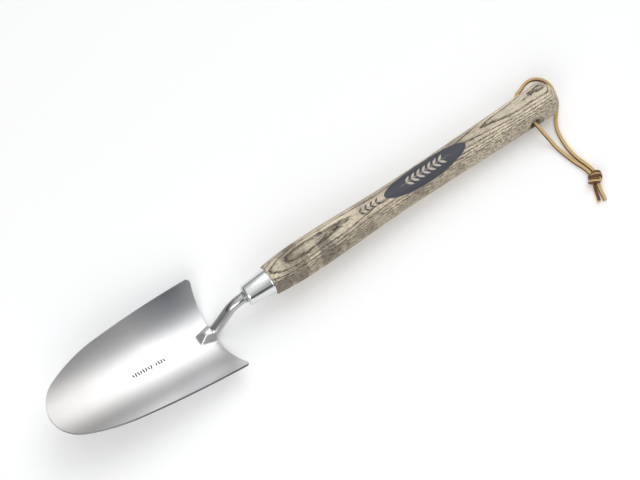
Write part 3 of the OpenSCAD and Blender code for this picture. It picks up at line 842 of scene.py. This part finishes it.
class TROWEL_OT_shank(bpy.types.Operator):
    """Bends the swan neck, forges its end under the hump and welds it"""
    bl_idname = "trowel.shank"
    bl_label = "Shank"

    def execute(self, context):
        s = context.scene.trowel
        k, b, lay = s.shank, s.blade, Lay(s)
        bright = steel("Bright steel", k.steel, lay.lay, 0.10, 0.20, RUB_DEPTH)
        bm = bmesh.new()
        start = -s.ferrule.length + 0.004
        upright = Matrix.Translation((start, 0, 0)) @ Matrix.Rotation(pi / 2, 4, "Y")
        bmesh.ops.create_circle(bm, segments=40, radius=k.radius, matrix=upright)
        edges = bm.edges[:]
        at = start
        # The swaged collar in front of the ferrule, then the parallel bar
        for x, swell in ((-0.0241, 1.0), (-0.0243, 1.10), (-0.0247, 1.15), (-0.0252, 1.15),
                         (-0.0256, 1.08), (-0.0259, 1.0), (lay.upper_centre.x, 1.0)):
            edges, verts, _faces = extrude_ring(bm, edges, Matrix.Translation((x - at, 0, 0)))
            at = x
            grow = swell * k.radius / max(hypot(v.co.y, v.co.z) for v in verts)
            bmesh.ops.scale(bm, vec=(1, grow, grow), verts=verts)
        edges = self.bend(bm, edges, lay.upper_centre, k.slope, 14)
        leave = lay.upper_centre + k.upper_bend * Vector((-sin(k.slope), 0, cos(k.slope)))
        reach = lay.heel_centre + k.heel_bend * Vector((sin(k.slope), 0, -cos(k.slope)))
        edges, _verts, _faces = extrude_ring(bm, edges, Matrix.Translation(reach - leave))
        # The bend stops 24 degrees short, just behind the blade's back edge, where the wedge begins
        edges = self.bend(bm, edges, lay.heel_centre, radians(24) - lay.turn, 12)
        self.forge(bm, edges, b, k, lay)
        bmesh.ops.holes_fill(bm, edges=bm.edges[:], sides=0)
        bmesh.ops.recalc_face_normals(bm, faces=bm.faces[:])
        finish_piece("shank_bar", bm, lay.tool, (bright,), ("shank",), 50)
        self.weld(s, lay)
        return {"FINISHED"}

    def bend(self, bm, edges, centre, turn, steps):
        """Sweeps the open end of the bar round a centre."""
        verts = list({v for e in edges for v in e.verts})
        made = bmesh.ops.spin(bm, geom=verts + edges, cent=centre, axis=(0, -1, 0), dvec=(0, 0, 0),
                              angle=turn, steps=steps, use_merge=False, use_duplicate=False)
        return [e for e in made["geom_last"] if isinstance(e, bmesh.types.BMEdge)]

    def forge(self, bm, edges, b, k, lay):
        """Draws the bar out into the flat wedge that sits under the hump."""
        to_blade = Matrix.Rotation(-b.pitch, 4, "Y") @ Matrix.Translation(-lay.back_edge)
        back = to_blade.inverted()
        floor = -b.sheet
        roof = b.hump_height - b.sheet - 3 * k.clearance
        # Along the blade, half width, top and squareness of each section; 1 is round, 0 is square
        for x, half, top, square in ((0.0006, 0.0052, 0.0062, 0.85), (-0.0002, 0.0068, 0.0057, 0.6),
                                     (-0.0008, 0.0072, roof, 0.5), (-0.0070, 0.0047, roof - 0.0014, 0.5),
                                     (-0.0112, 0.0032, 0.0002, 0.5)):
            edges, verts, _faces = extrude_ring(bm, edges, Matrix.Identity(4))
            local = [to_blade @ v.co for v in verts]
            middle = sum(local, Vector()) / len(local)
            for v, p in zip(verts, local):
                a = atan2(p.z - middle.z, p.y)
                y = half * abs(cos(a)) ** square * (1 if cos(a) >= 0 else -1)
                z = abs(sin(a)) ** square * (1 if sin(a) >= 0 else -1)
                z = floor + (top - floor) * (z + 1) / 2
                lean = 1 - 0.62 * (z - floor) / (top - floor) if x < 0 else 1
                v.co = back @ Vector((x, y * lean, z))

    def weld(self, s, lay):
        """A rippled bead along both sides of the forged end, under the sheet."""
        b, k = s.blade, s.shank
        bm = bmesh.new()
        ripples, bead_radius, toe_in = 12, 0.00098, 0.40
        uneven = random.Random(7)
        front = Vector((0.0015 - b.hump_length, b.hump_front / 2 - b.sheet, 0))
        rear = Vector((-0.003, b.hump_back / 2 - b.sheet, 0))
        for side in (-1, 1):
            for i in range(ripples):
                at = rear.lerp(front, i / (ripples - 1))
                radius = bead_radius * uneven.uniform(0.88, 1.0)
                place = (Matrix.Translation((at.x, side * at.y, 0.0003 - b.sheet))
                         @ Matrix.Rotation(-side * toe_in, 4, "Z") @ Matrix.Diagonal((0.62, 1, 0.85, 1)))
                bmesh.ops.create_uvsphere(bm, u_segments=14, v_segments=9, radius=radius, matrix=place)
        bead, tree, shader, coords = new_material("Weld bead", Metallic=1.0, Roughness=0.42)
        heat = noise(tree, coords, 700, 2)
        tint = blend(tree, fit(tree, heat, 0.35, 0.65), tuple(k.weld), (0.60, 0.56, 0.50, 1))
        tree.links.new(tint, shader.inputs["Base Color"])
        bump(tree, shader, heat, 0.3, 0.0002)
        finish_piece("weld_seams", bm, lay.blade, (bead,), ("weld_beads",))


# ----------------------------------------------------------------------- ferrule

class TROWEL_OT_ferrule(bpy.types.Operator):
    """Spins the tapered ferrule"""
    bl_idname = "trowel.ferrule"
    bl_label = "Ferrule"

    def execute(self, context):
        s = context.scene.trowel
        f, lay = s.ferrule, Lay(s)
        bore = s.shank.radius + 0.00015

        def outer(x):
            """Outer radius at a distance from the wood, which is negative in front."""
            return f.back + x * (f.back - f.front) / f.length

        nose = rounded((f.rounding - f.length, outer(f.rounding - f.length) - f.rounding),
                       f.rounding, 180, 92, 10)
        lip = 0.00035
        points = [(0.0018 - f.length, bore), (0.0006 - f.length, bore), (0.00015 - f.length, bore + 0.0004),
                  (-f.length, bore + 0.0009)]
        points += nose
        # A fine groove just in front of the wood
        points += [(-0.0016, outer(-0.0016)), (-0.0013, outer(-0.0013) - 0.00012),
                   (-0.0010, outer(-0.0010))]
        points += [(-lip, outer(-lip)), (-0.0001, outer(0) - 0.0001), (0, outer(0) - lip),
                   (0, outer(0) - f.wall), (0.003 - f.length, outer(0.003 - f.length) - f.wall - 0.001),
                   (0.0018 - f.length, bore)]
        bm = turned(points, 128)
        polished = steel("Polished ferrule", f.steel, lay.lay, 0.07, 0.17, RUB_DEPTH)
        finish_piece("ferrule_cup", bm, lay.tool, (polished,), ("ferrule",), 40)
        return {"FINISHED"}


# ------------------------------------------------------------------------ handle

# Powers of the curves from the waist to the butt, and round the dome, where 2 is an ellipse
BUTT_CURVE = 1.3
DOME_CURVE = 2.2


def handle_radius(h, x):
    """Radius of the turned wood at a distance from the ferrule."""
    dome_start = h.length - h.dome
    if x < h.swell_at:
        return h.swell - (h.swell - h.front) * (1 - x / h.swell_at) ** 2
    if x < h.waist_at:
        return (h.swell + h.waist) / 2 + (h.swell - h.waist) / 2 * cos(
            pi * (x - h.swell_at) / (h.waist_at - h.swell_at))
    if x < dome_start:
        return h.waist + (h.butt - h.waist) * ((x - h.waist_at) / (dome_start - h.waist_at)) ** BUTT_CURVE
    return h.butt * max(0.0, 1 - ((x - dome_start) / h.dome) ** DOME_CURVE) ** (1 / DOME_CURVE)


def painted_hole_shade(tree, h, x, z):
    """Painted shade for the hanging hole: 1 in the hole, falling to 0 outside its rounded mouth."""
    off = maths(tree, "SUBTRACT", x, h.length - h.hole_inset)
    away = maths(tree, "SQRT", plus(tree, times(tree, off, off), times(tree, z, z)))
    return fit(tree, away, 0.7 * h.hole, h.hole + h.hole_flare, 1.0, 0.0)


# The log's heart lies below the handle and drifts aside along it; the rings run round the heart
HEART_DEPTH = 0.058
HEART_DRIFT = 0.075
RING_SPACING = 0.0015


def ring_lines(tree, wood, x, y, z):
    """1 in the dark porous start of each year's ring, falling to 0 in its cream late wood."""
    sway = noise(tree, stretch(tree, wood, (7, 20, 20)), 1.0, 2)
    ripple = noise(tree, stretch(tree, wood, (24, 110, 110)), 1.0, 2)
    jag = noise(tree, stretch(tree, wood, (150, 1100, 1100)), 1.0, 2, 0.6)
    sway = times(tree, maths(tree, "SUBTRACT", sway, 0.5), 0.014)
    side = plus(tree, y, times(tree, x, HEART_DRIFT), sway)
    depth = plus(tree, z, HEART_DEPTH)
    reach = maths(tree, "SQRT", plus(tree, times(tree, side, side), times(tree, depth, depth)))
    reach = plus(tree, reach, times(tree, ripple, 0.0016), times(tree, jag, 0.0007))
    rings = maths(tree, "FRACT", maths(tree, "DIVIDE", reach, RING_SPACING))
    return maths(tree, "MAXIMUM", fit(tree, rings, 0.02, 0.36, 1.0, 0.0), fit(tree, rings, 0.93, 1.0))


def open_pores(tree, wood, line, y):
    """Short dark ticks: few in the late wood of the flat-sawn top, many on the near side."""
    ticks = fit(tree, noise(tree, stretch(tree, wood, (350, 1450, 1450)), 1.0, 1), 0.49, 0.56)
    return times(tree, ticks, maths(tree, "MAXIMUM", fit(tree, line, 0.05, 0.5),
                                    fit(tree, y, 0.0, -0.010, 0.30, 0.72)))


def smoke_and_painted_shade(tree, wood, x, y):
    """How dark the wood is: smoke in clouds, in bands across it and more in front, and painted shade on the
    near side.
    """
    smoke = noise(tree, stretch(tree, wood, (18, 70, 70)), 1.0, 4, 0.6, 0.3)
    bands = fit(tree, noise(tree, stretch(tree, wood, (62, 22, 22)), 1.0, 2), 0.50, 0.60)
    front = fit(tree, x, 0.0, 0.20, 0.22, 0.09)
    # Painted shade: the near side darkened towards the greige
    flank = times(tree, fit(tree, y, 0.002, -0.011), front, 0.6)
    clouds = times(tree, fit(tree, smoke, 0.36, 0.64), 0.45)
    return fit(tree, plus(tree, clouds, front, flank, times(tree, bands, front, 2.0)), 0.10, 1.0)


def ash_wood(h, lay_turn, joint):
    """Smoked, weathered ash with open pores, painted shade on its near side and painted shade in the
    hanging hole.
    """
    material, tree, shader, coords = new_material("Weathered ash", Specular_IOR_Level=0.35)
    wood = own_frame(tree, coords, lay_turn, joint)
    x, y, z = wire(tree, "ShaderNodeSeparateXYZ", {"Vector": wood}).outputs
    line = ring_lines(tree, wood, x, y, z)
    pores = open_pores(tree, wood, line, y)
    fibres = noise(tree, stretch(tree, wood, (70, 1800, 1800)), 1.0, 3, 0.6)
    base = blend(tree, smoke_and_painted_shade(tree, wood, x, y), tuple(h.cream), tuple(h.greige))
    base = blend(tree, times(tree, line, 0.94), base, dimmed(h.greige, 0.30))
    base = blend(tree, fit(tree, fibres, 0.35, 0.70, 0.0, 0.22), base, tuple(h.greige))
    base = blend(tree, times(tree, pores, 0.85), base, tuple(h.pores))
    # Painted shade in the hanging hole and its mouths
    base = blend(tree, times(tree, painted_hole_shade(tree, h, x, z), 0.95), base, tuple(h.pores))
    tree.links.new(base, shader.inputs["Base Color"])
    tree.links.new(fit(tree, fibres, 0.3, 0.7, 0.50, 0.72), shader.inputs["Roughness"])
    sunk = plus(tree, pores, times(tree, line, 0.3))
    bump(tree, shader, maths(tree, "SUBTRACT", times(tree, fibres, 0.5), sunk), 0.6, 0.00018)
    return material


class TROWEL_OT_handle(bpy.types.Operator):
    """Turns the ash handle and bores its hanging hole"""
    bl_idname = "trowel.handle"
    bl_label = "Handle"

    def execute(self, context):
        s = context.scene.trowel
        h, lay = s.handle, Lay(s)
        dome_start = h.length - h.dome
        # A small worn edge at the ferrule, then even steps to the dome, then finer ones round it
        edge = 0.0004
        stations = [edge + (dome_start - edge) * i / 110 for i in range(111)]
        stations += [dome_start + h.dome * sin(pi / 2 * i / 24) for i in range(1, 25)]
        points = [(0, 0), (0, h.front - 0.0012), (0, h.front - edge), (edge * 0.3, h.front - edge * 0.3)]
        points += [(x, handle_radius(h, x)) for x in stations]
        bm = turned(points, 128)
        wood = ash_wood(h, lay.lay, lay.tool.to_translation())
        handle = finish_piece("ash_handle", bm, Matrix.Identity(4), (wood,), ("handle",), 40)
        self.bore(context, handle, h)
        handle.data.transform(lay.tool)
        return {"FINISHED"}

    def bore(self, context, handle, h):
        """Cuts the hanging hole with its rounded mouths, and keeps the cut mesh."""
        at = h.length - h.hole_inset
        mouth = handle_radius(h, at)
        wide = h.hole + h.hole_flare
        turns = [pi / 2 * i / 10 for i in range(11)]
        flare = [(mouth - h.hole_flare * (1 - sin(a)), wide - h.hole_flare * cos(a)) for a in turns]
        past = mouth + 0.003
        right = [(0, h.hole)] + flare + [(past, wide + 0.0002), (past, 0)]
        left = [(-y, r) for y, r in reversed(right[1:])]
        bm = turned(left + right, 64, (0, 1, 0))
        bm.transform(Matrix.Translation((at, 0, 0)))
        mesh = bpy.data.meshes.new("Drill")
        bm.to_mesh(mesh)
        bm.free()
        drill = bpy.data.objects.new("Drill", mesh)
        context.scene.collection.objects.link(drill)
        cut = handle.modifiers.new("Hanging hole", "BOOLEAN")
        cut.object, cut.operation, cut.solver = drill, "DIFFERENCE", "EXACT"
        context.view_layer.update()
        done = bpy.data.meshes.new_from_object(handle.evaluated_get(context.evaluated_depsgraph_get()))
        handle.modifiers.remove(cut)
        handle.data = done
        bpy.data.objects.remove(drill)
        done.shade_smooth()
        done.set_sharp_from_angle(angle=radians(40))


# ------------------------------------------------------------------------- label

class TROWEL_OT_label(bpy.types.Operator):
    """Prints the slate oval with its pale sprig, and a slate sprig beside it"""
    bl_idname = "trowel.label"
    bl_label = "Label"

    def execute(self, context):
        s = context.scene.trowel
        lb, h, lay = s.label, s.handle, Lay(s)

        def on_wood(v, lift):
            """Sets a flat point (along, across) on the wood's upper side."""
            r = handle_radius(h, v.x)
            up = sqrt(max(0.0, r * r - v.y * v.y))
            return Vector((v.x, v.y, up)) + Vector((0, v.y, up)) * (lift / r)

        def oval(lift, steps=96, rings=8):
            """The oval, its points set on rings from its middle to its rim."""
            bm = bmesh.new()
            bmesh.ops.create_grid(bm, x_segments=rings, y_segments=steps, size=1)
            for v in bm.verts:
                share = (v.co.x + 1) / 2
                a = pi * (v.co.y + 1)
                flat = Vector((lb.place + lb.length / 2 * share * cos(a), lb.width / 2 * share * sin(a), 0))
                v.co = on_wood(flat, lift)
            bmesh.ops.remove_doubles(bm, verts=bm.verts[:], dist=2e-6)
            bmesh.ops.recalc_face_normals(bm, faces=bm.faces[:])
            if sum(f.normal.z for f in bm.faces) < 0:
                bmesh.ops.reverse_faces(bm, faces=bm.faces[:])
            return bm

        slate = self.slate(lb)
        pale, tree, shader, coords = new_material("Pale print", Roughness=0.6)
        worn = noise(tree, coords, 900, 3, 0.7)
        tint = blend(tree, fit(tree, worn, 0.42, 0.62), tuple(lb.pale), dimmed(lb.pale, 0.6))
        tree.links.new(tint, shader.inputs["Base Color"])
        finish_piece("label_oval", oval(lb.film), lay.tool, (slate,), ("label",))
        finish_piece("label_sprig", self.sprig(on_wood, lb.place, 0.025, 0.0054, 7, lb.film * 1.25),
                     lay.tool, (pale,))
        finish_piece("handle_sprig", self.sprig(on_wood, 0.098, 0.012, 0.0040, 4, 0.00003),
                     lay.tool, (slate,))
        return {"FINISHED"}

    def slate(self, lb):
        """Worn slate ink, streaked along the grain."""
        material, tree, shader, coords = new_material("Slate print", Roughness=0.5, Specular_IOR_Level=0.4)
        grain = noise(tree, stretch(tree, coords, (60, 2200, 900)), 1.0, 3, 0.6)
        tint = blend(tree, fit(tree, grain, 0.4, 0.75, 0, 0.6), tuple(lb.slate), dimmed(lb.slate, 2.1))
        tree.links.new(tint, shader.inputs["Base Color"])
        tree.links.new(fit(tree, grain, 0.3, 0.7, 0.42, 0.62), shader.inputs["Roughness"])
        bump(tree, shader, grain, 0.4, 0.00008)
        return material

    def sprig(self, on_wood, at, reach, leaf, pairs, lift):
        """A plain stem with paired leaves along the handle."""
        bm = bmesh.new()
        half_stem, leaf_gap, leaf_share = 0.00022, 0.0003, 0.20

        def flake(start, end, wide):
            """A pointed oval from start to end."""
            made = bmesh.ops.create_grid(bm, x_segments=10, y_segments=4, size=1)["verts"]
            along = end - start
            across = Vector((-along.y, along.x, 0)).normalized()
            for v in made:
                share = (v.co.x + 1) / 2
                full = wide * sin(pi * min(0.97, max(0.03, share)) ** 0.8)
                v.co = on_wood(start + along * share + across * full * v.co.y, lift)

        flake(Vector((at - reach, 0, 0)), Vector((at + reach, 0, 0)), half_stem)
        for i in range(pairs):
            root = at + reach * (1.305 * i / (pairs - 1) - 0.75)
            for side in (-1, 1):
                tip = Vector((root + leaf * 0.95, side * leaf * 0.80, 0))
                flake(Vector((root, side * leaf_gap, 0)), tip, leaf * leaf_share)
        bmesh.ops.recalc_face_normals(bm, faces=bm.faces[:])
        for face in bm.faces:
            if face.normal.z < 0:
                face.normal_flip()
        return bm


# ------------------------------------------------------------------------- panel

OPERATORS = (TROWEL_OT_stage, TROWEL_OT_lace, TROWEL_OT_blade, TROWEL_OT_shank, TROWEL_OT_ferrule,
             TROWEL_OT_handle, TROWEL_OT_label)


class TROWEL_PT_parts(bpy.types.Panel):
    """Lists the pieces of the trowel with their sizes and colours"""
    bl_idname = "TROWEL_PT_parts"
    bl_label = "Hand Trowel"
    bl_space_type = "VIEW_3D"
    bl_region_type = "UI"
    bl_category = "Hand Trowel"

    def draw(self, context):
        for operator in OPERATORS:
            box = self.layout.box()
            box.operator(operator.bl_idname)
            part = getattr(context.scene.trowel, operator.bl_idname.split(".")[1])
            for key in part.__annotations__:
                box.prop(part, key)


CLASSES = (TrowelBlade, TrowelShank, TrowelFerrule, TrowelHandle, TrowelLabel, TrowelLace, TrowelStage,
           TrowelSettings, *OPERATORS, TROWEL_PT_parts)


def register():
    for cls in CLASSES:
        bpy.utils.register_class(cls)
    bpy.types.Scene.trowel = bpy.props.PointerProperty(type=TrowelSettings)


def unregister():
    del bpy.types.Scene.trowel
    for cls in reversed(CLASSES):
        bpy.utils.unregister_class(cls)


def main():
    register()
    for operator in OPERATORS:
        group, name = operator.bl_idname.split(".")
        getattr(getattr(bpy.ops, group), name)()


if __name__ == "__main__":
    main()
